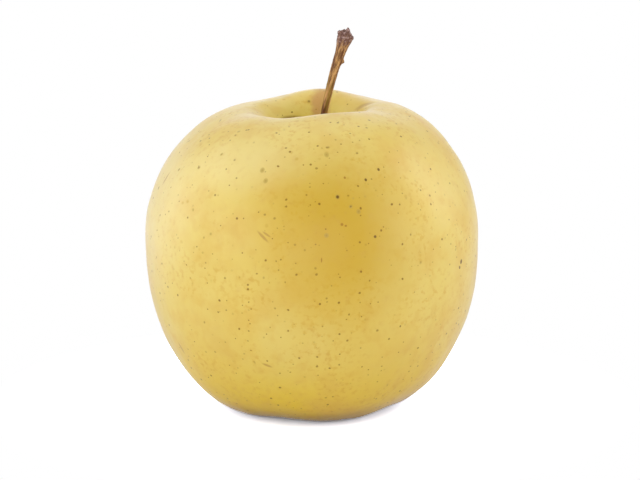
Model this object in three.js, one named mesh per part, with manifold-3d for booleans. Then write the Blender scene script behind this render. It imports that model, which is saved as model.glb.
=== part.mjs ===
// A whole yellow dessert apple with its stalk and the dried calyx under it.
//
// Units are millimetres and +Z is up. The fruit stands on the table, z = 0, on the five lobes
// of its blossom end. The origin is on the table, in the middle of the fruit's outline, -Y is
// the front and +X the right. Angles round the fruit start at the front and grow to the right.

import * as THREE from "three";
import { mergeVertices } from "three/addons/utils/BufferGeometryUtils.js";
import Module from "manifold-3d";

const wasm = await Module();
wasm.setup();

// ---------------------------------------------------------------- driving dimensions

// The gap between pieces that touch, so that their solids stay apart.
const contactGap = 0.3;

// The fruit's outline, as circles round its core and their levels above the table.
const widestRadius = 38.2;
const widestLevel = 39.3;
const shoulderRadius = 15;
const shoulderLevel = 67.9;
const footRadius = 15;

// How far the outline keeps to its tangent on each side of those circles.
const shoulderRun = 10.9;
const upperFlankRise = 15.2;
const lowerFlankDrop = 23.2;
const footRun = 12.4;

// The hollow that the stalk grows from, and the socket in its floor for the stalk's root.
const cavityDepth = 16;
const cavityFloorRadius = 3;
const cavityFloorRun = 3.5;
const cavityRimRun = 7;
const socketDepth = 4;
const stalkRootX = 1.1;

// The basin under the fruit, its flat floor, and the tube above it that holds the stamens.
const basinDepth = 8.5;
const basinFloorRadius = 6.2;
const basinWallRun = 4;
const basinRimRun = 5;
const tubeRadius = 2.4;
const tubeDepth = 4;

// How much each lobe of the shoulders stands above the rest, from the front one to the right.
const lobeRises = [1.4, 1.1, 1.7, 0, 0];

// The ribs, one to a lobe, which turn a little on their way up from the feet to the shoulders.
const ribCount = lobeRises.length;
const footRibAngle = THREE.MathUtils.degToRad(17);
const ribTwist = THREE.MathUtils.degToRad(16);
const ribHeightAtWaist = 0.15;
const ribHeightAtShoulder = 0.15;
const ribHeightAtFoot = 0.25;
const shoulderWave = 0.25;
const footLift = 0.7;
const footFlatDepth = 0.2;
const footWaveReach = 14;

// The unevenness of a fruit that grew on one side of a spur.
const ovalness = 0.2;
const backFullness = 0.25;

// The stalk: a root in the socket, then a curve that leans to the right. It is slimmest in the
// middle of its length, thickens upwards and flares where it broke off the spur.
const stalkLength = 34.7;
const stalkTipX = 7.2;
const stalkTipY = 1;
const stalkLean = THREE.MathUtils.degToRad(19);
const stalkRootRadius = 1;
const stalkNeckRadius = 0.65;
const stalkUpperRadius = 1.05;
const stalkTipRadius = 1.85;
const stalkFlareLength = 6;
const stalkRidgeHeight = 0.1;
const stalkRidges = 4;
const stalkTearDepth = 1;
const stalkTearAngle = THREE.MathUtils.degToRad(-30);

// The sepals, which stand on the basin's floor, close over the tube and turn out at the tip.
const sepalCount = 5;
const sepalWidth = 3.2;
const sepalTipWidth = 0.5;
const sepalTaper = 1.4;
const sepalThickness = 0.5;
const sepalDrop = 4.6;
const sepalCloseIn = 1.3;
const sepalTurnOut = 1.9;

// The dried stamens, which stand on a small disc at the top of the tube.
const stamenCount = 10;
const stamenRadius = 0.28;
const stamenDiscThickness = 1;
const stamenReach = 1.2;
const stamenSpread = 0.45;

// Facets.
const roundSteps = 60;
const outlineSteps = 11;
const stalkRoundSteps = 12;
const stalkSteps = 26;
const sepalStepsAcross = 4;
const sepalSteps = 8;
const stamenDiscSteps = 20;
const stamenRoundSteps = 6;
const stamenSteps = 3;

// ---------------------------------------------------------------- worked out from those

const cavityFloorLevel = shoulderLevel - cavityDepth;
const socketRadius = stalkRootRadius + stalkRidgeHeight + contactGap;
const socketFloorLevel = cavityFloorLevel - socketDepth;
const tubeTopLevel = basinDepth + tubeDepth;

// ---------------------------------------------------------------- helpers

// 0 below start, 1 above end, and smooth between.
const ease = (value, start, end) => THREE.MathUtils.smoothstep(value, start, end);

// Moves each vertex of a geometry to where place(point) puts it.
function reshape(geometry, place) {
  const position = geometry.getAttribute("position");
  const point = new THREE.Vector3();
  for (let i = 0; i < position.count; i++) {
    place(point.fromBufferAttribute(position, i));
    position.setXYZ(i, point.x, point.y, point.z);
  }
  return geometry;
}

// A lathe turned to stand on Z, with angle 0 at the front.
function latheOnZ(outline, steps) {
  return new THREE.LatheGeometry(outline, steps).rotateX(Math.PI / 2);
}

function cylinderOnZ(radius, height, steps, heightSteps) {
  const cylinder = new THREE.CylinderGeometry(radius, radius, height, steps, heightSteps);
  return cylinder.rotateX(Math.PI / 2);
}

// A closed geometry as a solid that can be joined and cut.
function toSolid(geometry) {
  const bare = geometry.clone();
  bare.deleteAttribute("normal");
  bare.deleteAttribute("uv");
  const merged = mergeVertices(bare, 1e-3);
  return new wasm.Manifold(
    new wasm.Mesh({
      numProp: 3,
      vertProperties: merged.attributes.position.array,
      triVerts: new Uint32Array(merged.index.array),
    }),
  );
}

function toGeometry(solid) {
  const mesh = solid.getMesh();
  return new THREE.BufferGeometry()
    .setAttribute("position", new THREE.BufferAttribute(mesh.vertProperties, 3))
    .setIndex(new THREE.BufferAttribute(mesh.triVerts, 1));
}

function piece(name, geometry, material) {
  geometry.computeVertexNormals();
  const mesh = new THREE.Mesh(geometry, material);
  mesh.name = name;
  return mesh;
}

// ---------------------------------------------------------------- materials

const skin = new THREE.MeshStandardMaterial({ color: 0xdfc468, roughness: 0.42, metalness: 0 });
const bark = new THREE.MeshStandardMaterial({ color: 0x7d5a34, roughness: 0.8, metalness: 0 });
const dryLeaf = new THREE.MeshStandardMaterial({ color: 0x8d7c52, roughness: 0.85, metalness: 0 });
const dryThread = new THREE.MeshStandardMaterial({ color: 0x4d3926, roughness: 0.9, metalness: 0 });

// ---------------------------------------------------------------- fruit

// The outline from the top of the stamens' tube, round the outside, to the stalk's socket.
function fruitOutline() {
  const outline = new THREE.Path();
  outline.moveTo(0, tubeTopLevel);
  outline.lineTo(tubeRadius, tubeTopLevel);
  outline.lineTo(tubeRadius, basinDepth);
  outline.lineTo(basinFloorRadius, basinDepth);
  outline.bezierCurveTo(
    basinFloorRadius + basinWallRun, basinDepth,
    footRadius - basinRimRun, 0,
    footRadius, 0,
  );
  outline.bezierCurveTo(
    footRadius + footRun, 0,
    widestRadius, widestLevel - lowerFlankDrop,
    widestRadius, widestLevel,
  );
  outline.bezierCurveTo(
    widestRadius, widestLevel + upperFlankRise,
    shoulderRadius + shoulderRun, shoulderLevel,
    shoulderRadius, shoulderLevel,
  );
  outline.bezierCurveTo(
    shoulderRadius - cavityRimRun, shoulderLevel,
    cavityFloorRadius + cavityFloorRun, cavityFloorLevel,
    cavityFloorRadius, cavityFloorLevel,
  );
  outline.lineTo(socketRadius, cavityFloorLevel);
  outline.lineTo(socketRadius, socketFloorLevel);
  outline.lineTo(0, socketFloorLevel);
  return outline.getPoints(outlineSteps);
}

// How far the shoulders stand up at an angle, in smooth steps from lobe to lobe.
function lobeRiseAt(angle) {
  const turn = THREE.MathUtils.euclideanModulo((angle * ribCount) / (2 * Math.PI), ribCount);
  const lobe = Math.floor(turn);
  const next = (lobe + 1) % ribCount;
  return THREE.MathUtils.lerp(lobeRises[lobe], lobeRises[next], ease(turn, lobe, lobe + 1));
}

// Ribs, lobes and unevenness, none of which reach the socket or the floor of the basin.
function growUnevenly(point) {
  const radius = Math.hypot(point.x, point.y);
  const angle = Math.atan2(point.x, -point.y);
  const upper = ease(point.z, widestLevel, shoulderLevel);
  const lower = ease(-point.z, -widestLevel, 0);
  const foot = ease(-point.z, -footWaveReach, 0);
  const shoulderFree = ease(radius, cavityFloorRadius, shoulderRadius);
  const footFree = ease(radius, basinFloorRadius, footRadius);
  const free = point.z > widestLevel ? shoulderFree : footFree;

  const ribAngle = footRibAngle + (ribTwist * point.z) / shoulderLevel;
  const rib = Math.cos(ribCount * (angle - ribAngle));
  const ribHeight = ribHeightAtWaist + ribHeightAtShoulder * upper + ribHeightAtFoot * lower;
  const oval = ovalness * Math.cos(2 * angle) - backFullness * Math.cos(angle);
  const grown = radius + free * (ribHeight * rib + oval);

  const shoulderRise = lobeRiseAt(angle - ribAngle) + shoulderWave * rib;
  const footRise = footLift * (0.5 - 0.5 * rib) - footFlatDepth;
  const coreShift = ease(point.z, tubeTopLevel, socketFloorLevel) * stalkRootX * (1 - shoulderFree);
  point.x = grown * Math.sin(angle) + coreShift;
  point.y = -grown * Math.cos(angle);
  point.z += free * (shoulderRise * upper + footRise * foot);
}

// The fruit is one piece of skin and flesh, cut flat where its lobes press on the table.
function makeFruit() {
  const grown = toSolid(reshape(latheOnZ(fruitOutline(), roundSteps), growUnevenly));
  const side = 4 * widestRadius;
  const slab = new THREE.BoxGeometry(side, side, widestLevel).translate(0, 0, -widestLevel / 2);
  return piece("fruit", toGeometry(grown.subtract(toSolid(slab))), skin);
}

// ---------------------------------------------------------------- stalk

const stalkRootLevel = socketFloorLevel + contactGap;

// The middle of the stalk: straight up in the socket, then a bend that leans to the tip.
function stalkLine() {
  const mouth = new THREE.Vector3(stalkRootX, 0, cavityFloorLevel);
  const root = mouth.clone().setZ(stalkRootLevel);
  const tip = new THREE.Vector3(stalkRootX + stalkTipX, stalkTipY, cavityFloorLevel + stalkLength);
  const reach = stalkLength / 3;
  const tipDirection = new THREE.Vector3(Math.sin(stalkLean), 0, Math.cos(stalkLean));
  const line = new THREE.CurvePath();
  line.add(new THREE.LineCurve3(root, mouth));
  line.add(
    new THREE.CubicBezierCurve3(
      mouth,
      mouth.clone().add(new THREE.Vector3(0, 0, reach)),
      tip.clone().addScaledVector(tipDirection, -reach),
      tip,
    ),
  );
  return line;
}

// The stalk's radius at a length along it. The neck is at half the length.
function stalkRadiusAt(length, whole) {
  const neck = whole / 2;
  const flareStart = whole - stalkFlareLength;
  const lower = THREE.MathUtils.lerp(stalkRootRadius, stalkNeckRadius, ease(length, 0, neck));
  const upper = THREE.MathUtils.lerp(lower, stalkUpperRadius, ease(length, neck, flareStart));
  return THREE.MathUtils.lerp(upper, stalkTipRadius, ease(length, flareStart, whole));
}

// A straight fluted rod with a broken tip, which is then laid along the stalk's line.
function makeStalk() {
  const line = stalkLine();
  const whole = line.getLength();
  const outline = [new THREE.Vector2(0, 0)];
  for (let i = 0; i <= stalkSteps; i++) {
    const length = (whole * i) / stalkSteps;
    outline.push(new THREE.Vector2(stalkRadiusAt(length, whole), length));
  }
  outline.push(new THREE.Vector2(0, whole));

  const rod = reshape(latheOnZ(outline, stalkRoundSteps), (point) => {
    const radius = Math.hypot(point.x, point.y);
    const angle = Math.atan2(point.x, -point.y);
    const along = THREE.MathUtils.clamp(point.z / whole, 0, 1);
    const centre = line.getPointAt(along);
    const tangent = line.getTangentAt(along);
    const right = new THREE.Vector3(0, 1, 0).cross(tangent).normalize();
    const back = new THREE.Vector3().crossVectors(tangent, right);
    const ridge = radius > 0 ? stalkRidgeHeight * Math.cos(stalkRidges * angle) : 0;
    const torn = ease(point.z, whole - stalkFlareLength / 2, whole);
    const edge = 0.5 + 0.5 * Math.cos(2 * (angle - stalkTearAngle));
    const tear = -torn * stalkTearDepth * (radius > 0 ? edge : 1);
    point
      .copy(centre)
      .addScaledVector(right, (radius + ridge) * Math.sin(angle))
      .addScaledVector(back, -(radius + ridge) * Math.cos(angle))
      .addScaledVector(tangent, tear);
  });
  return piece("stalk", rod, bark);
}

// ---------------------------------------------------------------- calyx

// The middle line of a sepal, as distance from the core and level.
function sepalLine() {
  const rootRadius = (tubeRadius + basinFloorRadius) / 2;
  const rootLevel = basinDepth - contactGap;
  return new THREE.CubicBezierCurve(
    new THREE.Vector2(rootRadius, rootLevel),
    new THREE.Vector2(rootRadius, rootLevel - sepalDrop / 2),
    new THREE.Vector2(rootRadius - 2 * sepalCloseIn, rootLevel - sepalDrop / 2),
    new THREE.Vector2(rootRadius - sepalCloseIn + sepalTurnOut, rootLevel - sepalDrop),
  );
}

// A box of one unit each way, laid along the sepal's line and narrowed to its tip.
function makeSepal(index) {
  const line = sepalLine();
  const strip = new THREE.BoxGeometry(1, 1, 1, sepalStepsAcross, 1, sepalSteps);
  const leaf = reshape(strip, (point) => {
    const along = point.z + 0.5;
    const centre = line.getPoint(along);
    const tangent = line.getTangent(along);
    const across = THREE.MathUtils.lerp(sepalWidth, sepalTipWidth, along ** sepalTaper) * point.x;
    const through = sepalThickness * (1 - along / 2) * point.y;
    point.set(across, -(centre.x - tangent.y * through), centre.y + tangent.x * through);
  });
  leaf.rotateZ(footRibAngle + (2 * Math.PI * (index + 0.5)) / sepalCount);
  return piece(`sepal_${index + 1}`, leaf, dryLeaf);
}

// A disc at the top of the tube with a ring of threads that hang into the basin.
function makeStamens() {
  const discRadius = tubeRadius - contactGap;
  const discLevel = tubeTopLevel - contactGap - stamenDiscThickness / 2;
  const disc = cylinderOnZ(discRadius, stamenDiscThickness, stamenDiscSteps, 1);
  let bundle = toSolid(disc.translate(0, 0, discLevel));

  const threadEnd = basinDepth - stamenReach;
  const ringRadius = discRadius - 2 * stamenRadius;
  for (let i = 0; i < stamenCount; i++) {
    const angle = (2 * Math.PI * i) / stamenCount;
    const length = discLevel - threadEnd + (i % 2 ? stamenRadius : 0);
    const thread = cylinderOnZ(stamenRadius, length, stamenRoundSteps, stamenSteps);
    thread.translate(0, 0, discLevel - length / 2);
    reshape(thread, (point) => {
      const down = (discLevel - point.z) / length;
      const reach = ringRadius - stamenSpread * down * down;
      point.x += reach * Math.sin(angle);
      point.y -= reach * Math.cos(angle);
    });
    bundle = bundle.add(toSolid(thread));
  }
  return piece("stamens", toGeometry(bundle), dryThread);
}

// ---------------------------------------------------------------- the apple

const apple = new THREE.Group();
apple.add(makeFruit(), makeStalk(), makeStamens());
for (let i = 0; i < sepalCount; i++) apple.add(makeSepal(i));

export default apple;
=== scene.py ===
# %% [markdown]
# # A yellow dessert apple
#
# This lesson builds the looks of one apple around a model that already has its sizes: a fruit,
# its stalk, five dried sepals and the dried stamens. That model is the frame. It is never moved
# or changed. Each piece is drawn again here with the shape and the finish of the real thing,
# in metres and in the same place, and the plain solid behind it is hidden.
#
# The fruit stands on the table at z = 0, and its front looks along -Y.

# %% Load the frame
import functools
import math
import random

import bpy
import bmesh
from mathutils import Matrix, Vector


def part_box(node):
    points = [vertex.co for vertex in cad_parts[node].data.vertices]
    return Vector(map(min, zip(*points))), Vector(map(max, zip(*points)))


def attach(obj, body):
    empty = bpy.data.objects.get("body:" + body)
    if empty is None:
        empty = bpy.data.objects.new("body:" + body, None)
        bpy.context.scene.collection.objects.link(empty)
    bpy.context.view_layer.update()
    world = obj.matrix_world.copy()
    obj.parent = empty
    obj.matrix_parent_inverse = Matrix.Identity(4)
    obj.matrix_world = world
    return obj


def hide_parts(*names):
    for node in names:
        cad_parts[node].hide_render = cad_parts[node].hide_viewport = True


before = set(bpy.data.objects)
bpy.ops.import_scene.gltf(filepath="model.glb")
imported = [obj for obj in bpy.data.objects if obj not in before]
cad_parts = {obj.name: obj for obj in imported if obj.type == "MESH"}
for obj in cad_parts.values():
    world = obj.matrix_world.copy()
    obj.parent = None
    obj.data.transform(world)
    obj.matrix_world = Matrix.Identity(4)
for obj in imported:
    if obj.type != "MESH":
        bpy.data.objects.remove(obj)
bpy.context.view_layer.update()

MM = 0.001
fruit_low, fruit_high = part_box("fruit")
stalk_low, stalk_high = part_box("stalk")
print("nodes:", ", ".join(sorted(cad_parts)))
print(f"fruit {(fruit_high.x - fruit_low.x) / MM:.1f} mm wide, {fruit_high.z / MM:.1f} mm high")

# %% [markdown]
# ## The camera
#
# A long lens from a little above the fruit keeps its outline round, as a portrait lens does with
# a face. The camera comes first, so that every piece can be looked at as soon as it is made.

# %% Camera
DISTANCE = 0.6
TILT = math.radians(12)
AIM = Vector((1.9 * MM, 0, 37.9 * MM))

bpy.ops.object.camera_add()
camera = bpy.context.object
camera.name = "camera"
towards_camera = Vector((0, -math.cos(TILT), math.sin(TILT)))
camera.location = AIM + DISTANCE * towards_camera
camera.rotation_euler = (-towards_camera).to_track_quat("-Z", "Y").to_euler()
camera.data.lens = 148.3
camera.data.sensor_width = 36
bpy.context.scene.camera = camera
print(f"camera {DISTANCE} m away, {math.degrees(TILT):.0f} degrees above the table")

# %% [markdown]
# ## Helpers for modelling
#
# Every edit below is what a hand would do in edit mode: pick some points, then move, scale or
# extrude them. These few helpers pick by place, because a script can't click. An operator acts
# on all that is selected, so each helper clears the old selection first.

# %% Picking and editing
def only(piece):
    """Selects this object and nothing else."""
    bpy.ops.object.select_all(action="DESELECT")
    piece.select_set(True)
    bpy.context.view_layer.objects.active = piece


def edit(piece):
    """Opens a piece in edit mode, with nothing selected."""
    only(piece)
    bpy.ops.object.mode_set(mode="EDIT")
    bpy.ops.mesh.select_mode(type="VERT")
    bpy.ops.mesh.select_all(action="DESELECT")


def done():
    """Leaves edit mode."""
    bpy.ops.object.mode_set(mode="OBJECT")


def pick(piece, wanted):
    """In edit mode, selects the vertices for which wanted(place) is true."""
    mesh = bmesh.from_edit_mesh(piece.data)
    mesh.select_mode = {"VERT"}
    for vertex in mesh.verts:
        vertex.select_set(False)
    picked = [vertex for vertex in mesh.verts if wanted(vertex.co)]
    for vertex in picked:
        vertex.select_set(True)
    mesh.select_flush(True)
    bmesh.update_edit_mesh(piece.data)


print("ready to pick points")

# %% [markdown]
# ## Helpers for finishing a piece
#
# A modifier is added and applied at once, so that the next edit works on real points. A finished
# piece has its place in its mesh and its object at the origin, as the frame's pieces have, and a
# closed shell with every face turned outwards.

# %% Finishing a piece
def modify(piece, kind, **settings):
    """Adds a modifier and applies it at once."""
    only(piece)
    modifier = piece.modifiers.new(kind.lower(), kind)
    for key, value in settings.items():
        setattr(modifier, key, value)
    bpy.ops.object.modifier_apply(modifier=modifier.name)


def settle(piece, name):
    """Names a finished piece and puts its place into its mesh."""
    only(piece)
    bpy.ops.object.transform_apply(location=True, rotation=True, scale=True)
    piece.name = piece.data.name = name


def tidy_shell(piece, gap=0.02 * MM):
    """Merges doubled points and turns every face outwards."""
    edit(piece)
    bpy.ops.mesh.select_all(action="SELECT")
    bpy.ops.mesh.remove_doubles(threshold=gap)
    bpy.ops.mesh.normals_make_consistent(inside=False)
    done()


def count(piece):
    """Prints how many triangles a piece has."""
    triangles = sum(len(face.vertices) - 2 for face in piece.data.polygons)
    print(f"{piece.name}: {triangles} triangles")


print("ready to finish pieces")

# %% [markdown]
# ## The skin: a drawn outline, spun
#
# An apple is round about its core, so half of its outline is enough: from the floor of the hollow
# on top, over the shoulder, down the flank, under the foot and up into the basin below. A potter's
# wheel does the rest. Spinning gives even rings of faces, which smooth and bend well, where a
# squashed sphere would bunch its faces at the poles and have no hollow at all.

# %% Draw the outline and spin it
WIDEST = (fruit_high.x - fruit_low.x) / 2
CREST_RADIUS = 15 * MM
CREST_LEVEL = 68.5 * MM
WIDEST_LEVEL = 39.3 * MM
FOOT_RADIUS = 15 * MM
BASIN_RADIUS = 6 * MM
BASIN_LEVEL = 8.5 * MM
TUBE_RADIUS = 2.6 * MM
TUBE_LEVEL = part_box("stamens")[1].z + 0.2 * MM
CAVITY_LEVEL = stalk_low.z + 3.7 * MM
TURNS = 72

outline = [
    (0, CAVITY_LEVEL - 0.6 * MM),
    (3 * MM, CAVITY_LEVEL),
    (9 * MM, CAVITY_LEVEL + 9 * MM),
    (CREST_RADIUS, CREST_LEVEL),
    (31 * MM, 60.5 * MM),
    (WIDEST, WIDEST_LEVEL),
    (31.5 * MM, 12 * MM),
    (FOOT_RADIUS, 0),
    (BASIN_RADIUS + 3.5 * MM, BASIN_LEVEL - 3.5 * MM),
    (BASIN_RADIUS, BASIN_LEVEL),
    (TUBE_RADIUS, BASIN_LEVEL + 0.8 * MM),
    (TUBE_RADIUS * 0.8, TUBE_LEVEL - 0.8 * MM),
    (0, TUBE_LEVEL),
]

bpy.ops.curve.primitive_bezier_curve_add()
drawn = bpy.context.object
line = drawn.data.splines[0]
line.bezier_points.add(len(outline) - 2)
line.resolution_u = 7
for point, (radius, level) in zip(line.bezier_points, outline):
    point.co = (radius, 0, level)
    point.handle_left_type = point.handle_right_type = "AUTO"
only(drawn)
bpy.ops.object.transform_apply(location=True, rotation=True, scale=True)
bpy.ops.object.convert(target="MESH")
skin = bpy.context.object
edit(skin)
bpy.ops.mesh.select_all(action="SELECT")
bpy.ops.mesh.spin(steps=TURNS, angle=math.tau, center=(0, 0, 0), axis=(0, 0, 1))
done()
settle(skin, "apple_skin")
AT_POLE = 0.05 * MM
edit(skin)
for level in (outline[0][1], outline[-1][1]):
    pick(skin, lambda co: math.hypot(co.x, co.y) < AT_POLE and abs(co.z - level) < MM)
    bpy.ops.mesh.merge(type="CENTER")
done()
tidy_shell(skin)
count(skin)

# %% [markdown]
# ## The lobes
#
# The frame already has this fruit's five low ribs, its uneven shoulders and the small flats that
# it stands on. Shrinkwrap lays the spun shell on the frame's fruit, as cling film would lie, so
# the two agree everywhere. The floor of the hollow is kept out, because the frame has a narrow
# socket there for the stalk that the real fruit doesn't show. That floor is moved under the stalk
# instead. A short smoothing then takes away the frame's facets.

# %% Choose what is wrapped
STALK_ASIDE = 1.1 * MM
FREE_FLOOR = 3.4 * MM
FREE_BASIN = BASIN_RADIUS - 0.5 * MM
WRAP_FADE = 1.5 * MM

edit(skin)
pick(skin, lambda co: math.hypot(co.x, co.y) < 4 * MM and co.z > WIDEST_LEVEL)
bpy.ops.transform.translate(value=(STALK_ASIDE, 0, 0))
done()

wrap = skin.vertex_groups.new(name="wrap")
for vertex in skin.data.vertices:
    radius = math.hypot(vertex.co.x, vertex.co.y)
    start = FREE_FLOOR if vertex.co.z > WIDEST_LEVEL else FREE_BASIN
    share = (radius - start) / WRAP_FADE
    wrap.add([vertex.index], min(1, max(0, share)), "REPLACE")
print("floor moved", round(STALK_ASIDE / MM, 1), "mm to the right, to the foot of the stalk")


# %% Wrap the shell on the frame's fruit
def wrap_skin(offset, rounds):
    """Lays the skin on the frame's fruit, a little proud of it, and smooths the facets away."""
    modify(
        skin,
        "SHRINKWRAP",
        target=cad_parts["fruit"],
        wrap_method="NEAREST_SURFACEPOINT",
        offset=offset,
        vertex_group="wrap",
    )
    modify(skin, "SMOOTH", factor=0.5, iterations=rounds)


wrap_skin(0.2 * MM, 2)
modify(skin, "SUBSURF", levels=1, render_levels=1)
wrap_skin(0.12 * MM, 4)
print("skin stands from", round(min(v.co.z for v in skin.data.vertices) / MM, 2), "mm")

# %% [markdown]
# ## Uneven flesh
#
# Under the fingers an apple is never a turned shape. A very shallow Displace with a soft cloud
# pattern gives the slow unevenness of grown flesh. It moves the skin by a quarter of a millimetre
# out or in at the most, which shows only where light glances along it.

# %% Swell the flesh
swell = bpy.data.textures.new("slow swelling", type="CLOUDS")
swell.noise_scale = 13 * MM
modify(skin, "DISPLACE", texture=swell, texture_coords="LOCAL", strength=0.5 * MM, mid_level=0.5)
print(f"swellings of {swell.noise_scale / MM:.0f} mm")

# %% [markdown]
# ## The crease, the rims and the puckers
#
# Some places need a thumb. In the wall of the upper hollow the skin folds into a short crease at
# the back right. The rim of that hollow swells at the back and again at the front, over the ribs.
# In the basin below, the skin is gathered into small knobs between the sepals, where the flower
# was. Proportional editing moves one point and lets its neighbours follow. It comes before the
# last subdivision, because fewer points are quicker to move.

# %% A thumb for the skin
def pull(piece, centre, reach, move):
    """Drags the surface near a point, with a soft fall-off, as the grab of a thumb would."""
    edit(piece)
    target = Vector(centre)
    mesh = bmesh.from_edit_mesh(piece.data)
    mesh.verts.ensure_lookup_table()
    nearest = min(mesh.verts, key=lambda vertex: (vertex.co - target).length).co.copy()
    pick(piece, lambda co: (co - nearest).length < 0.001 * MM)
    bpy.ops.transform.translate(
        value=move,
        use_proportional_edit=True,
        proportional_edit_falloff="SMOOTH",
        proportional_size=reach,
    )
    done()


def around(angle, radius, level):
    """A point by its angle in degrees from the front, its distance from the core and its level."""
    turn = math.radians(angle)
    return Vector((radius * math.sin(turn), -radius * math.cos(turn), level))


print("the front is at", [round(v) for v in around(0, 1, 0)])

# %% Crease, rims and knobs
CREASE_STEPS = 9
for step in range(CREASE_STEPS):
    share = step / (CREASE_STEPS - 1)
    spot = around(125 - 22 * share, (11.3 + 3.1 * share) * MM, (66.6 + 2.5 * share) * MM)
    pull(skin, spot, 1.8 * MM, (0, 0, (0.1 * share - 0.17) * MM))

back_rim = (4 * MM, 14 * MM, 69 * MM)
front_rim = (0.8 * MM, -13.5 * MM, 68.5 * MM)
pull(skin, back_rim, 14 * MM, (0, 0, 0.8 * MM))
pull(skin, front_rim, 8 * MM, (0, 0, 0.75 * MM))

SEPALS = 5
FIRST_SEPAL = 53
for index in range(SEPALS):
    knob = FIRST_SEPAL + 360 / SEPALS * (index + 0.5)
    pull(skin, around(knob, 5.4 * MM, BASIN_LEVEL), 1.8 * MM, (0, 0, -0.9 * MM))
modify(skin, "SUBSURF", levels=1, render_levels=1)
print("crease of", CREASE_STEPS, "pulls, 2 rims,", SEPALS, "knobs")

# %% [markdown]
# ## Feet on the table
#
# The fruit stands on the small flats of its lobes. Scaling the lowest points to nothing in z,
# about the table, presses them flat: that is what a table does to the skin.

# %% Press the feet flat
PRESSED = 0.12 * MM
lowest = min(vertex.co.z for vertex in skin.data.vertices)
edit(skin)
pick(skin, lambda co: co.z < 1.2 * MM)
bpy.ops.transform.translate(
    value=(0, 0, -lowest - PRESSED),
    use_proportional_edit=True,
    proportional_edit_falloff="SMOOTH",
    proportional_size=6 * MM,
)
pick(skin, lambda co: co.z < 0)
bpy.ops.transform.resize(value=(1, 1, 0), center_override=(0, 0, 0))
done()
only(skin)
bpy.ops.object.shade_smooth()
count(skin)

# %% [markdown]
# ## The stalk
#
# The stalk is a woody rod with a few ridges. It is thickest at its broken end, where it tore from
# the spur of the tree, and thinnest at the waist. It is made as a turner can't: one ring of points
# is extruded from the root upwards, moved along the middle of the frame's stalk, tilted to it and
# scaled to the girth that the stalk has there. The girths are half thicknesses, by height above the
# root, in millimetres.

# %% Middle and girth of the stalk
TIP = stalk_high.z
ROOT = stalk_low.z + 2 * MM
SIDES = 24
girths = [
    (0, 1.5),
    (1.5, 1.35),
    (3, 1.0),
    (5, 0.78),
    (8.5, 0.66),
    (12, 0.64),
    (16, 0.68),
    (19, 0.8),
    (22, 0.86),
    (25, 0.9),
    (28, 1.0),
    (30.4, 1.12),
    (32.2, 1.42),
    (33.6, 1.75),
    (34.7, 1.95),
    (35.3, 1.86),
]


def stalk_middle(level):
    """The middle of the frame's stalk at a level."""
    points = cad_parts["stalk"].data.vertices
    near = [point.co for point in points if abs(point.co.z - level) < 1.3 * MM]
    return sum(near, Vector()) / len(near)


@functools.lru_cache(maxsize=None)
def stalk_place(height):
    """Middle and lean of the stalk at a height above its root, in metres and radians."""
    level = ROOT + height
    low = stalk_middle(max(stalk_low.z + 1.5 * MM, level - 2 * MM))
    high = stalk_middle(min(TIP - 2.5 * MM, level + 2 * MM))
    lean = math.atan2(high.x - low.x, high.z - low.z)
    middle = low + (high - low) * ((level - low.z) / (high.z - low.z))
    return middle, lean


TIP_HEIGHT = girths[-1][0] * MM
print(f"the stalk leans by {math.degrees(stalk_place(TIP_HEIGHT)[1]):.0f} degrees at its tip")

# %% Extrude the stalk
bpy.ops.object.select_all(action="DESELECT")
middle, lean = stalk_place(0)
bpy.ops.mesh.primitive_circle_add(
    vertices=SIDES,
    radius=girths[0][1] * MM,
    fill_type="NGON",
    location=middle,
)
stalk = bpy.context.object
bpy.ops.object.transform_apply(location=True, rotation=True, scale=True)
edit(stalk)
bpy.ops.mesh.select_all(action="SELECT")
for (_, girth), (height, next_girth) in zip(girths, girths[1:]):
    next_middle, next_lean = stalk_place(height * MM)
    step = next_middle - middle
    bpy.ops.mesh.extrude_region_move(TRANSFORM_OT_translate={"value": step})
    grow = next_girth / girth
    bpy.ops.transform.resize(value=(grow, grow, grow), center_override=next_middle)
    bpy.ops.transform.rotate(value=lean - next_lean, orient_axis="Y", center_override=next_middle)
    middle, lean = next_middle, next_lean
for inset in (0.35, 0.5, 0.4):
    bpy.ops.mesh.inset(thickness=inset * MM)
bpy.ops.mesh.poke()
bpy.ops.mesh.select_all(action="SELECT")
bpy.ops.mesh.normals_make_consistent(inside=False)
done()
settle(stalk, "stalk_wood")
count(stalk)

# %% [markdown]
# ## Ridges and scar
#
# Dry wood shrinks between its fibres, so columns of points are pushed out or in by seeded random
# amounts. A small nub on the right is the scar of a bract.

# %% Ridges and scar
RIDGE_HALF = 7
dice = random.Random(7)


def heading(co):
    """The side of the stalk that a point is on, in degrees: 0 is right, 90 is back."""
    here, tilt = stalk_place(round(co.z - ROOT, 4))
    return math.degrees(math.atan2(co.y - here.y, (co.x - here.x) * math.cos(tilt))) % 360


edit(stalk)
for column in range(SIDES):
    side = 360 * column / SIDES
    ridge = 0.07 if column % 4 == 0 else -0.03
    pick(
        stalk,
        lambda co: ROOT < co.z < TIP - 2 * MM
        and abs((heading(co) - side + 180) % 360 - 180) < RIDGE_HALF,
    )
    bpy.ops.transform.shrink_fatten(value=(ridge + dice.uniform(-0.05, 0.05)) * MM)
done()

modify(stalk, "SUBSURF", levels=3, render_levels=3)
SCAR_LEVEL = 78.6 * MM
scar_spot = stalk_middle(SCAR_LEVEL) + Vector((1.2 * MM, 0, 0))
pull(stalk, scar_spot, 1.1 * MM, (0.3 * MM, 0, -0.1 * MM))
pull(stalk, scar_spot, 0.55 * MM, (0.22 * MM, 0, -0.25 * MM))
count(stalk)

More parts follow.
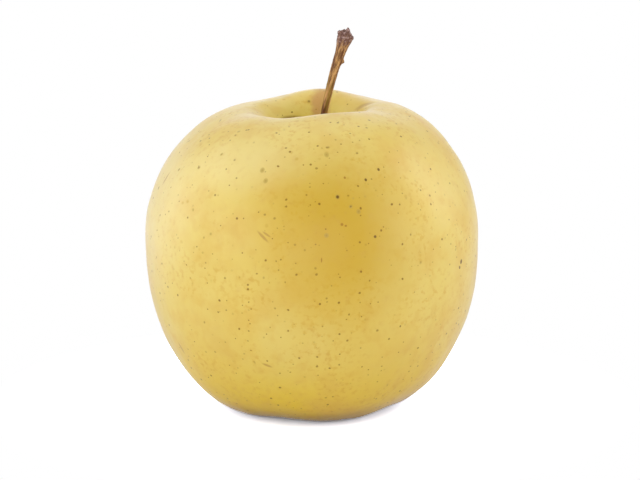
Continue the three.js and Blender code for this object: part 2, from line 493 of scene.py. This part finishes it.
# %% [markdown]
# ## The torn end
#
# The end broke unevenly, so it gets two lobes with a cleft between them. Each pull says how far
# right and back of the middle it takes hold, how far it reaches and how far it moves along the
# stalk, in millimetres. Fine cloud noise then roughens all the wood, most of it at the end.

# %% Tear the end
SMOOTHEST = 0.22
tip_middle, tip_lean = stalk_place(TIP_HEIGHT)
along = Vector((math.sin(tip_lean), 0, math.cos(tip_lean)))
across = Vector((math.cos(tip_lean), 0, -math.sin(tip_lean)))
for side, back, reach, move in (
    (1.7, -0.4, 1.3, -1.1),
    (1.4, 1.0, 1.1, -0.9),
    (0.9, 0.1, 0.7, -0.3),
    (-0.6, -1.2, 0.6, -0.8),
    (-0.6, 0.3, 0.6, -0.8),
    (0.1, -0.6, 0.9, 0.9),
    (0.5, 0.5, 0.8, 0.6),
    (-1.3, -0.3, 1.0, -0.5),
    (-1.2, 0.8, 0.9, -0.6),
):
    spot = tip_middle + across * side * MM + Vector((0, back * MM, 0))
    pull(stalk, spot, reach * MM, along * move * MM)

torn = stalk.vertex_groups.new(name="torn")
for vertex in stalk.data.vertices:
    share = (vertex.co.z - TIP + 5 * MM) / (3 * MM)
    torn.add([vertex.index], min(1, max(SMOOTHEST, share)), "REPLACE")
splinters = bpy.data.textures.new("splinters", type="CLOUDS")
splinters.noise_scale = 0.55 * MM
modify(
    stalk,
    "DISPLACE",
    texture=splinters,
    texture_coords="LOCAL",
    strength=0.6 * MM,
    vertex_group="torn",
)
only(stalk)
bpy.ops.object.shade_smooth()
count(stalk)

# %% [markdown]
# ## The dried sepals
#
# Under the fruit, the five leaves that once closed the flower are still there: small woolly
# triangles, dry and curled. One is modelled from a flat grid that stands in the basin: each row of
# points is narrowed and moved along a curve. Solidify gives it a thickness. The five sepals are
# copies of it, each turned to its place and crumpled a little differently.

# %% One sepal
SEPAL_ROOT = BASIN_LEVEL + 0.4 * MM
SEPAL_TIP = 3.6 * MM
SEPAL_RADIUS = 4.3 * MM
ROWS = 9
leaf_length = SEPAL_ROOT - SEPAL_TIP
bpy.ops.object.select_all(action="DESELECT")
bpy.ops.mesh.primitive_grid_add(
    x_subdivisions=6,
    y_subdivisions=ROWS - 1,
    size=1,
    location=(0, -SEPAL_RADIUS, (SEPAL_ROOT + SEPAL_TIP) / 2),
    rotation=(math.radians(90), 0, 0),
)
leaf = bpy.context.object
leaf.scale = (3.4 * MM, leaf_length, 1)
bpy.ops.object.transform_apply(location=True, rotation=True, scale=True)
edit(leaf)
for row in range(ROWS):
    share = row / (ROWS - 1)
    level = SEPAL_ROOT - share * leaf_length
    inward = (1.7 * math.sin(share * math.pi * 0.8) - 1.6 * share**3) * MM
    centre = (0, -SEPAL_RADIUS, level)
    pick(leaf, lambda co: abs(co.z - level) < 0.1 * MM)
    bpy.ops.transform.resize(value=(1 - 0.9 * share**1.3, 1, 1), center_override=centre)
    bpy.ops.transform.translate(value=(0, inward, 0))
pick(leaf, lambda co: abs(co.x) > 0.9 * MM)
bpy.ops.transform.translate(value=(0, 0.45 * MM, 0))
done()
settle(leaf, "sepal_pattern")
modify(leaf, "SUBSURF", levels=1, render_levels=1)
modify(leaf, "SOLIDIFY", thickness=0.3 * MM, offset=0)
modify(leaf, "SUBSURF", levels=2, render_levels=2)
tidy_shell(leaf, 0.001 * MM)
print(f"one sepal, {leaf_length / MM:.1f} mm long")

# %% Five sepals
crumple = bpy.data.textures.new("crumple", type="CLOUDS")
crumple.noise_scale = 1.1 * MM
sepals = []
for index in range(SEPALS):
    copy = leaf.copy()
    copy.data = leaf.data.copy()
    bpy.context.collection.objects.link(copy)
    copy.rotation_euler.z = math.radians(FIRST_SEPAL + 360 / SEPALS * index)
    settle(copy, f"dried_sepal_{index + 1}")
    modify(copy, "DISPLACE", texture=crumple, texture_coords="LOCAL", strength=0.8 * MM)
    only(copy)
    bpy.ops.object.shade_smooth()
    sepals.append(copy)
bpy.data.objects.remove(leaf)
for sepal in sepals:
    count(sepal)

# %% [markdown]
# ## The dried stamens
#
# A ring of dry threads hangs from the tube behind the sepals, each with the shrivelled bag that
# held its pollen, round five shorter ones, the styles. Each is a thin tube that is extruded and
# bent, with a small bead at its end, and has its own seeded length, lean and curl. The threads are
# joined into one piece, because nobody would take them apart.

# %% One thread with its bead
THREAD = 0.13 * MM
THREAD_STEPS = 6
tube_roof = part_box("stamens")[1].z
dice = random.Random(21)


def thread(turn, reach, length, spread, bead):
    """One stamen: a thin tube from the roof of the basin's tube down, with a bead at its end."""
    start = Vector((0, -reach, tube_roof))
    bpy.ops.object.select_all(action="DESELECT")
    bpy.ops.mesh.primitive_circle_add(vertices=8, radius=THREAD, fill_type="NGON", location=start)
    made = bpy.context.object
    bpy.ops.object.transform_apply(location=True, rotation=True, scale=True)
    edit(made)
    bpy.ops.mesh.select_all(action="SELECT")
    for step in range(1, THREAD_STEPS + 1):
        curl = dice.uniform(-0.07, 0.07) * MM
        outward = -spread * (step / THREAD_STEPS) / THREAD_STEPS * 2
        move = Vector((curl, outward, -length / THREAD_STEPS))
        bpy.ops.mesh.extrude_region_move(TRANSFORM_OT_translate={"value": move})
        start = start + move
    for grow, down in ((2.4, 0.12), (1.25, 0.25), (0.9, 0.3), (0.35, 0.2)):
        move = Vector((0, 0, -down * bead))
        bpy.ops.mesh.extrude_region_move(TRANSFORM_OT_translate={"value": move})
        start = start + move
        bpy.ops.transform.resize(value=(grow, grow, 1), center_override=start)
    bpy.ops.mesh.select_all(action="SELECT")
    bpy.ops.mesh.normals_make_consistent(inside=False)
    done()
    made.rotation_euler.z = turn
    bpy.ops.object.transform_apply(location=True, rotation=True, scale=True)
    return made


print(f"a thread is {2 * THREAD / MM:.2f} mm thick")

# %% A ring of threads
STAMENS = 16
STYLES = 5
threads = []
for index in range(STAMENS):
    turn = math.tau * (index + dice.uniform(-0.3, 0.3)) / STAMENS
    length = dice.uniform(3.6, 5.2) * MM
    threads.append(thread(turn, 1.75 * MM, length, dice.uniform(-0.3, 0.9) * MM, MM))
for index in range(STYLES):
    turn = math.tau * index / STYLES
    threads.append(thread(turn, 0.3 * MM, dice.uniform(3.2, 4.2) * MM, 0.35 * MM, 0.7 * MM))
bpy.ops.object.select_all(action="DESELECT")
for made in threads:
    made.select_set(True)
stamens = threads[0]
bpy.context.view_layer.objects.active = stamens
bpy.ops.object.join()
settle(stamens, "dried_stamens")
modify(stamens, "SUBSURF", levels=1, render_levels=1)
only(stamens)
bpy.ops.object.shade_smooth()
count(stamens)

# %% [markdown]
# ## Building materials from nodes
#
# Every finish below is mixed from patterns that are worked out in space, on Object coordinates, so
# there are no seams and no pictures to stretch. A few helpers keep the recipes short: one adds a
# node, one lays a colour over another, and the rest make and combine soft masks.

# %% Colours and nodes
def tint(red, green, blue):
    """A colour as a painter reads it from a chart, 0 to 255, made linear for the shader."""
    def linear(value):
        share = value / 255
        return share / 12.92 if share <= 0.04045 else ((share + 0.055) / 1.055) ** 2.4

    return (linear(red), linear(green), linear(blue), 1)


def add(tree, kind, inputs=None, **settings):
    """Adds a node. inputs gives each socket a value, or the output that feeds it."""
    node = tree.nodes.new("ShaderNode" + kind)
    for key, value in settings.items():
        setattr(node, key, value)
    for key, value in (inputs or {}).items():
        if isinstance(value, bpy.types.NodeSocket):
            tree.links.new(value, node.inputs[key])
        else:
            node.inputs[key].default_value = value
    return node


def lay(tree, share, under, over):
    """Lays one colour over another, as much as share says."""
    return add(tree, "Mix", {0: share, 6: under, 7: over}, data_type="RGBA").outputs[2]


print("mid grey is", round(tint(128, 128, 128)[0], 3), "in the shader's numbers")


# %% Soft masks
def ramp(tree, value, low, high, to_low=0, to_high=1):
    """Turns a value between low and high into a smooth step."""
    inputs = {"Value": value, "From Min": low, "From Max": high, "To Min": to_low, "To Max": to_high}
    return add(tree, "MapRange", inputs, interpolation_type="SMOOTHSTEP").outputs[0]


def calc(tree, operation, first, second):
    """One step of arithmetic."""
    return add(tree, "Math", {0: first, 1: second}, operation=operation).outputs[0]


def times(tree, *factors):
    """All of these multiplied, as masks are where they have to hold together."""
    return functools.reduce(lambda first, second: calc(tree, "MULTIPLY", first, second), factors)


def speckle(tree, place, size, detail=2.0):
    """A plain noise with features of about this size in metres."""
    inputs = {"Vector": place, "Scale": 1 / size, "Detail": detail}
    return add(tree, "TexNoise", inputs).outputs["Fac"]


def cloud(tree, place, size, low, high, detail=2.0):
    """A soft mask of blotches of about this size in metres."""
    return ramp(tree, speckle(tree, place, size, detail), low, high)


def blob(tree, place, centre, radii, turn=(0, 0, 0)):
    """A soft ellipsoid: 1 in its middle, 0 at its rim."""
    inputs = {"Vector": place, "Location": centre, "Rotation": turn, "Scale": radii}
    mapping = add(tree, "Mapping", inputs, vector_type="TEXTURE")
    ball = add(tree, "TexGradient", {"Vector": mapping.outputs[0]}, gradient_type="SPHERICAL")
    return ball.outputs["Fac"]


print("ready to mix masks")


# %% A new material
def new_material(name, roughness, **constants):
    """A material, its nodes, its shader and the Object coordinates that every pattern reads."""
    material = bpy.data.materials.new(name)
    material.use_nodes = True
    tree = material.node_tree
    shader = tree.nodes["Principled BSDF"]
    shader.inputs["Roughness"].default_value = roughness
    for key, value in constants.items():
        shader.inputs[key.replace("_", " ")].default_value = value
    place = add(tree, "TexCoord").outputs["Object"]
    return material, tree, shader, place


def dress(piece, material):
    """Gives a piece one material."""
    piece.data.materials.clear()
    piece.data.materials.append(material)
    print(f"{piece.name} wears {material.name}")


# %% [markdown]
# ## The skin: its gloss
#
# Ripe skin shines softly through a film of wax. A low specular level keeps the rims from glaring,
# a little sheen stands for the bloom that pales the skin where it turns away, and a little
# subsurface light softens the shadows, because the flesh below is wet and lets light in.

# %% The skin's shader
skin_finish, tree, shader, place = new_material(
    "ripe yellow skin",
    0.36,
    Specular_IOR_Level=0.26,
    Sheen_Weight=0.34,
    Sheen_Roughness=0.33,
    Sheen_Tint=(0.96, 0.93, 1, 1),
    Subsurface_Weight=0.12,
    Subsurface_Radius=(0.9, 0.55, 0.15),
    Subsurface_Scale=3 * MM,
)
axes = add(tree, "SeparateXYZ", {"Vector": place})
height = axes.outputs["Z"]
flat_place = add(tree, "CombineXYZ", {"X": axes.outputs["X"], "Y": axes.outputs["Y"]})
from_core = add(tree, "VectorMath", {0: flat_place.outputs[0]}, operation="LENGTH").outputs["Value"]
above = ramp(tree, height, 48 * MM, 53 * MM)
below = ramp(tree, height, 11 * MM, 6 * MM)
print("skin: gloss, and masks for the upper hollow and the basin")

# %% [markdown]
# ## The skin: yellow, clouds and flecks
#
# Ripe yellow skin isn't one yellow. It is a little paler at the top and a deeper gold at the foot.
# Slow clouds, a blush and small blotches of ochre drift over it, each finer than the last, and in
# some places there are flecks of about a millimetre. Each is a mask over the colours below it.

# %% Base and clouds
top_colour = tint(220, 197, 110)
colour = lay(tree, ramp(tree, height, 60 * MM, 22 * MM), top_colour, tint(218, 194, 104))
foot = ramp(tree, height, 23 * MM, 1 * MM, 0, 0.92)
colour = lay(tree, foot, colour, tint(222, 188, 32))
drift = times(tree, cloud(tree, place, 24 * MM, 0.42, 0.66), 0.5)
colour = lay(tree, drift, colour, tint(218, 186, 80))
blush = times(tree, cloud(tree, place, 9 * MM, 0.45, 0.72, 3), 0.45)
colour = lay(tree, blush, colour, tint(210, 171, 78))
blotches = times(tree, cloud(tree, place, 3.5 * MM, 0.5, 0.75), 0.3)
colour = lay(tree, blotches, colour, tint(207, 164, 68))
flecked = cloud(tree, place, 11 * MM, 0.4, 0.6)
flecks = times(tree, cloud(tree, place, 1.1 * MM, 0.5, 0.72, 3), flecked, 0.5)
colour = lay(tree, flecks, colour, tint(202, 156, 56))
print("skin: base, foot, drift, blush, blotches and flecks")

# %% [markdown]
# ## The skin: ochre, painted highlights, painted foot shade and green hollows
#
# The front ripened to ochre. The pale cream on the left flank and the left shoulder is a painted
# highlight of the left softbox. The brown at the edge of the foot is painted shade, where the table
# hides the skin from the light. Both hollows keep some green, because little light got in.

# %% Ochre, painted highlights, painted foot shade and hollows
ochre_centre = around(10, 36 * MM, 47 * MM)
ochre = ramp(tree, blob(tree, place, ochre_centre, (26 * MM, 18 * MM, 29 * MM)), 0, 0.9, 0, 0.88)
colour = lay(tree, ochre, colour, tint(199, 161, 42))

# Painted highlight: pale cream where the left softbox shines on the left flank and the left
# shoulder.
flank_highlight = blob(tree, place, around(-78, 36 * MM, 50 * MM), (18 * MM, 34 * MM, 28 * MM))
colour = lay(tree, ramp(tree, flank_highlight, 0, 0.8, 0, 0.65), colour, tint(234, 218, 160))
shoulder_highlight = blob(tree, place, around(-34, 28 * MM, 60 * MM), (20 * MM, 16 * MM, 9 * MM))
colour = lay(tree, ramp(tree, shoulder_highlight, 0, 0.8, 0, 0.6), colour, tint(228, 210, 142))

# Painted shade: the skin darkens to brown in its lowest 6 mm, where the table hides it from the
# light.
foot_shade = ramp(tree, height, 6 * MM, 0, 0, 0.7)
colour = lay(tree, foot_shade, colour, tint(138, 98, 24))

hollow = times(tree, above, ramp(tree, from_core, 13 * MM, 5 * MM), 0.85)
colour = lay(tree, hollow, colour, tint(224, 208, 72))
basin = times(tree, below, ramp(tree, from_core, 13 * MM, 6 * MM), 0.8)
colour = lay(tree, basin, colour, tint(196, 186, 76))
print("skin: ochre front, two areas of bloom, worn foot and both hollows")

# %% [markdown]
# ## Russet
#
# Russet is cork that the skin grew over small cracks, most of all round the stalk, where water
# stands. It is tan, dull and uneven. Here it makes a collar round the stalk and a ring in the basin,
# and a noise breaks up the edge of each. A band up the back wall, right behind the stalk, is partly
# russet and partly the stalk's painted shadow. A thin dark brown line lies low in the left of the
# hollow.

# %% Russet in the hollows
edge = speckle(tree, place, 2.2 * MM, 4.0)
uneven = calc(tree, "SUBTRACT", edge, 0.5)
frayed_core = calc(tree, "ADD", from_core, times(tree, uneven, 5 * MM))
collar = times(tree, above, ramp(tree, frayed_core, 5.5 * MM, 2.5 * MM), 0.75)
# Partly russet and partly painted shadow: this band up the back wall stands for the stalk's shadow
# there as well.
russet_and_shadow_band = blob(tree, place, (2.1 * MM, 12 * MM, 66.5 * MM), (2.9 * MM, 7.5 * MM, 9 * MM))
soft_russet_and_shadow_band = calc(tree, "ADD", russet_and_shadow_band, times(tree, uneven, 0.6))
# The russet collar and ring, together with the band that is partly the stalk's painted shadow.
russet_and_stalk_shadow = calc(tree, "MAXIMUM", collar, ramp(tree, soft_russet_and_shadow_band, 0, 0.6, 0, 0.8))
basin_ring = times(tree, below, ramp(tree, frayed_core, 6 * MM, 3 * MM), 0.7)
russet_and_stalk_shadow = calc(tree, "MAXIMUM", russet_and_stalk_shadow, basin_ring)
colour = lay(tree, russet_and_stalk_shadow, colour, tint(196, 150, 92))
# A thin dark brown line, low in the left of the hollow.
hollow_dark_line = blob(tree, place, around(-150, 9.6 * MM, 64.5 * MM), (4.6 * MM, 3 * MM, 0.9 * MM))
colour = lay(tree, ramp(tree, hollow_dark_line, 0, 0.7, 0, 0.7), colour, tint(134, 100, 26))
print("skin: russet collar, band and ring, and the water stain")

# %% [markdown]
# ## Lenticels
#
# The dots are lenticels, the pores that the fruit breathes through. They differ in size and
# darkness, and high on the fruit the large ones have a pale halo. A Voronoi pattern gives one
# random centre in each cell of space: the skin cuts through some of the small balls about those
# centres, which makes round dots of mixed sizes, a few millimetres apart, as on the real skin. The
# colour of a cell decides how dark its dot is. A fine noise wobbles the pattern, so that no dot is
# a perfect disc.

# %% One kind of dot
DOT_WOBBLE = 0.35 * MM

inputs = {"Vector": place, "Scale": 1 / (1.2 * MM), "Detail": 1.0}
wobble = add(tree, "TexNoise", inputs).outputs["Color"]
nudge = add(tree, "VectorMath", {0: wobble, 1: (0.5, 0.5, 0.5)}, operation="SUBTRACT").outputs[0]
shift = add(tree, "VectorMath", {0: nudge, "Scale": DOT_WOBBLE}, operation="SCALE").outputs[0]
wobbly = add(tree, "VectorMath", {0: place, 1: shift}, operation="ADD").outputs[0]


def dots(spacing, radius, softness, faintest):
    """A mask of round dots: cells of this spacing, balls of this radius, both in millimetres."""
    inputs = {"Vector": wobbly, "Scale": 1 / (spacing * MM)}
    cells = add(tree, "TexVoronoi", inputs, feature="F1")
    away = times(tree, cells.outputs["Distance"], spacing * MM)
    mask = ramp(tree, away, radius * MM, radius * MM * (1 - softness))
    lot = add(tree, "SeparateColor", {"Color": cells.outputs["Color"]})
    return times(tree, mask, ramp(tree, lot.outputs["Red"], faintest, 0.75))


print("dots wobble by up to", round(DOT_WOBBLE / 2 / MM, 3), "mm each way")

# %% All the dots
high_up = ramp(tree, height, 30 * MM, 50 * MM)
pores = dots(2.2, 0.36, 0.6, 0.1)
fine = dots(1.6, 0.24, 0.7, 0.1)
faint = dots(3.0, 0.56, 0.6, 0.1)
halo = dots(4.8, 0.55, 0.5, 0.2)
core = dots(4.8, 0.3, 0.6, 0.2)

colour = lay(tree, times(tree, faint, high_up, 0.5), colour, tint(196, 158, 62))
colour = lay(tree, times(tree, halo, high_up, 0.75), colour, tint(186, 158, 74))
colour = lay(tree, times(tree, core, high_up, 0.7), colour, tint(118, 82, 28))
colour = lay(tree, times(tree, pores, 0.85), colour, tint(124, 84, 14))
colour = lay(tree, times(tree, fine, 0.85), colour, tint(136, 92, 18))
print("skin: pores, fine dots, faint dots and haloed dots")

# %% [markdown]
# ## Marks with a place of their own
#
# A few marks are what makes this apple this one: the largest haloed dots, four very dark ones,
# some reddish specks, a double insect scar on the right, and thin scratches where a twig rubbed
# it. Each is a small ellipsoid that a Mapping node puts on the skin and turns to lie in it. A mark
# is listed by its angle from the front and its level, and then by its half width, its half height
# and its lean where they differ.

# %% A mark on the skin
def on_skin(angle, level):
    """The point of the skin at an angle from the front and a level."""
    outward = around(angle, 1, 0)
    _, point, _, _ = skin.ray_cast(Vector((0, 0, level)) + outward * 0.1, -outward)
    return point


def mark(angle, level, wide, high, lean_over=0):
    """A soft spot, 1 in its middle and 0 at its rim. Angles in degrees, lengths in millimetres."""
    turn = (0, math.radians(lean_over), math.radians(angle))
    return blob(tree, place, on_skin(angle, level * MM), (wide * MM, 3 * MM, high * MM), turn)


def any_of(masks):
    """Where any of the masks is."""
    return functools.reduce(lambda first, second: calc(tree, "MAXIMUM", first, second), masks)


print("the front of the skin at 40 mm:", [round(v / MM, 1) for v in on_skin(0, 40 * MM)], "mm")

# %% Placed marks
haloed = [(6.8, 62.6), (9.5, 54.5), (5.1, 46.7), (16.5, 51.4), (-20, 59.4), (-17.7, 57.4)]
dark = [(27.3, 59.4, 0.38), (21, 57.6, 0.38), (21.6, 46, 0.4), (9.5, 54.5, 0.42)]
ruddy = [
    (10.4, 48.9, 0.42, 0.42, 0),
    (11.7, 48.6, 0.36, 0.3, 0),
    (3.4, 41.5, 0.2, 0.7, 0),
    (13, 58.2, 0.34, 0.34, 0),
]
rubbed = [
    (-16.2, 46.2, 0.4, 2.2, -50),
    (-14.9, 46.7, 0.3, 1.4, -60),
    (-16.4, 17.0, 0.4, 1.5, -70),
    (-73.5, 54, 0.5, 2.2, 15),
    (-57.7, 17.2, 0.5, 1.8, -25),
]
halos = any_of([mark(angle, level, 0.62, 0.62) for angle, level in haloed])
colour = lay(tree, ramp(tree, halos, 0, 0.4, 0, 0.6), colour, tint(178, 150, 70))
colour = lay(tree, ramp(tree, halos, 0.5, 0.9, 0, 0.3), colour, tint(140, 106, 42))
reds = any_of([mark(*place_and_shape) for place_and_shape in ruddy])
colour = lay(tree, ramp(tree, reds, 0, 0.6, 0, 0.7), colour, tint(150, 92, 18))
specks = any_of([mark(angle, level, size, size) for angle, level, size in dark])
scar = any_of([mark(61.1, 36.9, 0.6, 0.7, 20), mark(60.2, 35.7, 0.4, 0.5, -30)])
colour = lay(tree, ramp(tree, any_of([specks, scar]), 0, 0.5, 0, 0.85), colour, tint(92, 58, 18))
rubs = any_of([mark(*place_and_shape) for place_and_shape in rubbed])
colour = lay(tree, ramp(tree, rubs, 0, 0.6, 0, 0.6), colour, tint(172, 128, 62))
# Painted shade in the fold of the crease on the back wall of the upper hollow, with a tan tint of
# its own.
crease_middle = around(113, 12.9 * MM, 68 * MM)
crease_size = (3.6 * MM, 1.2 * MM, 1.6 * MM)
crease_shade = blob(tree, place, crease_middle, crease_size, (0, -0.5, -0.5))
colour = lay(tree, ramp(tree, crease_shade, 0, 0.7, 0, 0.7), colour, tint(186, 148, 76))
tree.links.new(colour, shader.inputs["Base Color"])
print("skin:", len(haloed), "haloed dots,", len(dark), "dark dots,", len(ruddy), "reddish specks")
print("skin:", len(rubbed), "scratches, 1 double scar and the crease")

# %% [markdown]
# ## Relief of the skin
#
# Under a hand lens the skin has a very fine grain and shallow dimples, and each large dot is a tiny
# raised bump. Bump is right for relief this small, because it is far finer than the mesh. Russet
# is rougher than the skin round it, and duller.

# %% Grain and bumps
grain = speckle(tree, place, 0.8 * MM, 3.0)
dimples = speckle(tree, place, 5 * MM)
relief = calc(tree, "ADD", times(tree, grain, 0.02), times(tree, dimples, 0.25))
relief = calc(tree, "ADD", relief, times(tree, halo, 0.06))
relief = calc(tree, "ADD", relief, times(tree, edge, 0.3, russet_and_stalk_shadow))
bump = add(tree, "Bump", {"Height": relief, "Strength": 0.5, "Distance": 1 * MM})
tree.links.new(bump.outputs[0], shader.inputs["Normal"])
dull = calc(tree, "ADD", times(tree, russet_and_stalk_shadow, 0.35), 0.32)
roughness = calc(tree, "ADD", dull, times(tree, grain, 0.1))
tree.links.new(roughness, shader.inputs["Roughness"])
dress(skin, skin_finish)

# %% [markdown]
# ## Wood of the stalk
#
# The stalk is brown wood with paler fibres that run along it, a greenish middle and a purple-grey,
# rough end. The fibres are a noise that is stretched nine times along the stalk by a Mapping node,
# which is turned to the stalk's lean.

# %% Wood
wood, tree, shader, place = new_material("stalk wood", 0.62, Specular_IOR_Level=0.35)
lean_of_stalk = stalk_place(20 * MM)[1]
inputs = {"Vector": place, "Rotation": (0, lean_of_stalk, 0), "Scale": (1, 1, 9)}
along_fibres = add(tree, "Mapping", inputs, vector_type="TEXTURE").outputs[0]
height = add(tree, "SeparateXYZ", {"Vector": place}).outputs["Z"]
fibres = cloud(tree, along_fibres, 0.42 * MM, 0.4, 0.6, 4)
patches = cloud(tree, place, 3 * MM, 0.4, 0.65, 2)

colour = lay(tree, fibres, tint(98, 56, 20), tint(194, 148, 90))
colour = lay(tree, times(tree, patches, 0.5), colour, tint(96, 54, 24))
over_root = ramp(tree, height, 62 * MM, 68 * MM)
under_end = ramp(tree, height, 78 * MM, 72 * MM)
streaks = cloud(tree, along_fibres, 0.8 * MM, 0.4, 0.6, 1)
green = times(tree, over_root, under_end, streaks, 0.6)
colour = lay(tree, green, colour, tint(140, 112, 30))
colour = lay(tree, ramp(tree, height, 66 * MM, 60 * MM, 0, 0.6), colour, tint(150, 96, 34))
end = ramp(tree, height, 81 * MM, 84.5 * MM)
colour = lay(tree, times(tree, end, 0.85), colour, tint(104, 72, 66))
weathered = times(tree, end, cloud(tree, place, 0.7 * MM, 0.5, 0.65, 3), 0.8)
colour = lay(tree, weathered, colour, tint(176, 146, 140))
tree.links.new(colour, shader.inputs["Base Color"])
relief = calc(tree, "ADD", times(tree, fibres, 0.6), times(tree, patches, 0.3))
bump = add(tree, "Bump", {"Height": relief, "Strength": 0.6, "Distance": 0.15 * MM})
tree.links.new(bump.outputs[0], shader.inputs["Normal"])
dress(stalk, wood)

# %% [markdown]
# ## Dried leaf and thread
#
# Sepals and stamens are dead tissue: grey-brown, matt and a little woolly. The sepals keep a trace
# of green near their roots, and their tips have gone dark.

# %% Finish of the sepals
woolly = {"Sheen_Weight": 0.3, "Sheen_Roughness": 0.6}
dried_leaf, tree, shader, place = new_material("dried sepal", 0.85, **woolly)
height = add(tree, "SeparateXYZ", {"Vector": place}).outputs["Z"]
colour = lay(tree, cloud(tree, place, 0.9 * MM, 0.35, 0.65, 4), tint(92, 70, 44), tint(142, 118, 82))
colour = lay(tree, ramp(tree, height, 6 * MM, 8.5 * MM, 0, 0.6), colour, tint(128, 122, 66))
colour = lay(tree, ramp(tree, height, 5 * MM, 3.5 * MM, 0, 0.7), colour, tint(58, 42, 30))
tree.links.new(colour, shader.inputs["Base Color"])
veins = speckle(tree, place, 0.35 * MM, 3.0)
bump = add(tree, "Bump", {"Height": veins, "Strength": 0.6, "Distance": 0.15 * MM})
tree.links.new(bump.outputs[0], shader.inputs["Normal"])
for sepal in sepals:
    dress(sepal, dried_leaf)

# %% Finish of the stamens
dried_thread, tree, shader, place = new_material("dried stamen", 0.8)
height = add(tree, "SeparateXYZ", {"Vector": place}).outputs["Z"]
colour = lay(tree, cloud(tree, place, 0.6 * MM, 0.35, 0.65, 3), tint(70, 50, 30), tint(128, 96, 58))
colour = lay(tree, ramp(tree, height, 8 * MM, 7 * MM, 0, 0.7), colour, tint(48, 34, 24))
tree.links.new(colour, shader.inputs["Base Color"])
dress(stamens, dried_thread)

# %% [markdown]
# ## A pale table
#
# The table is pale, matt paper. Seen straight, it is brighter than white near the fruit, so that
# only a narrow shadow shows where the fruit stands on it. Between 45 and 75 millimetres from the
# fruit's middle it turns into a plain white glow. The light that it throws back up at the fruit
# comes from the pale grey paper alone. Beyond the table there is nothing to see but white.

# %% Table
SEEN_PAPER = (2.3, 2.6, 3.3, 1)
WHITE = (1, 1, 1, 1)
bpy.ops.object.select_all(action="DESELECT")
bpy.ops.mesh.primitive_plane_add(size=8)
table = bpy.context.object
table.name = "table"
paper, tree, shader, place = new_material("pale table", 0.9)
grey = lay(tree, cloud(tree, place, 0.4, 0.3, 0.7), tint(221, 220, 224), tint(225, 225, 227))
is_seen = add(tree, "LightPath").outputs["Is Camera Ray"]
near_colour = lay(tree, is_seen, grey, SEEN_PAPER)
matt = add(tree, "BsdfDiffuse", {"Color": near_colour})
glow = add(tree, "Emission", {"Color": WHITE, "Strength": 1.0})
distance = add(tree, "VectorMath", {0: place}, operation="LENGTH").outputs["Value"]
far_and_seen = times(tree, is_seen, ramp(tree, distance, 45 * MM, 75 * MM))
surface = add(tree, "MixShader", {0: far_and_seen, 1: matt.outputs[0], 2: glow.outputs[0]})
tree.links.new(surface.outputs[0], tree.nodes["Material Output"].inputs["Surface"])
dress(table, paper)

# %% [markdown]
# ## A white tent
#
# Fruit is lit in a tent of white cloth, which is darkest straight in front, where the lens looks
# in. That gives pale edges and a deep colour in the middle. The world's colour is a soft step from
# front to back.

# %% Tent
TENT_STRENGTH = 0.42
DARK = (0.03, 0.03, 0.03, 1)
world = bpy.data.worlds.new("white tent")
bpy.context.scene.world = world
world.use_nodes = True
tree = world.node_tree
tree.nodes.clear()
direction = add(tree, "TexCoord").outputs["Generated"]
front_to_back = add(tree, "SeparateXYZ", {"Vector": direction}).outputs["Y"]
tent = lay(tree, ramp(tree, front_to_back, -0.95, -0.45), DARK, (1, 0.99, 1, 1))
lit = add(tree, "Background", {"Color": tent, "Strength": TENT_STRENGTH})
seen = add(tree, "Background", {"Color": WHITE, "Strength": 1.0})
is_seen = add(tree, "LightPath").outputs["Is Camera Ray"]
both = add(tree, "MixShader", {0: is_seen, 1: lit.outputs[0], 2: seen.outputs[0]})
add(tree, "OutputWorld", {"Surface": both.outputs[0]})
print("tent at strength", TENT_STRENGTH)


# %% [markdown]
# ## Softboxes
#
# Large square lamps outside the tent add the soft, broad lights: one on each side, one above and a
# weak one behind, which lifts the far rim without making it glare, and three fills in front, the
# strongest of them low.

# %% Lamps
def softbox(name, place, size, watts, colour):
    """A square lamp that faces the middle of the fruit."""
    bpy.ops.object.light_add(type="AREA", location=place)
    lamp = bpy.context.object
    lamp.name = name
    aim = Vector((0, 0, fruit_high.z / 2)) - Vector(place)
    lamp.rotation_euler = aim.to_track_quat("-Z", "Y").to_euler()
    lamp.data.size = size
    lamp.data.energy = watts
    lamp.data.color = colour
    print(f"{name}: {watts} W")


softbox("left softbox", (-0.66, 0.06, 0.38), 0.7, 2.3, (1, 1, 0.99))
softbox("right softbox", (0.66, 0.15, 0.34), 0.5, 2.3, (1, 0.97, 0.97))
softbox("top softbox", (0, 0.3, 0.75), 0.6, 1.35, (1, 1, 1))
softbox("back softbox", (0, 0.75, 0.3), 0.6, 0.7, (1, 1, 1))
softbox("left fill", (-0.55, -0.45, 0.2), 0.5, 1.85, (1, 1, 1))
softbox("right fill", (0.6, -0.4, 0.2), 0.5, 1.5, (1, 1, 1))
softbox("low fill", (0, -0.75, 0.08), 0.5, 2.55, (1, 1, 1))
bpy.context.scene.view_settings.view_transform = "Standard"

# %% [markdown]
# ## What each piece stands for
#
# The last step ties the pieces to the frame: each rides on the fruit's one body and hides the plain
# solid that it stands for.

# %% Tie to the frame
def stand_for(piece, node):
    """Ties a visible piece to its body and hides the solid that it stands for."""
    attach(piece, "root")
    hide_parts(node)
    print(f"{piece.name} stands for {node}")


stand_for(skin, "fruit")
stand_for(stalk, "stalk")
stand_for(stamens, "stamens")
for index, sepal in enumerate(sepals):
    stand_for(sepal, f"sepal_{index + 1}")
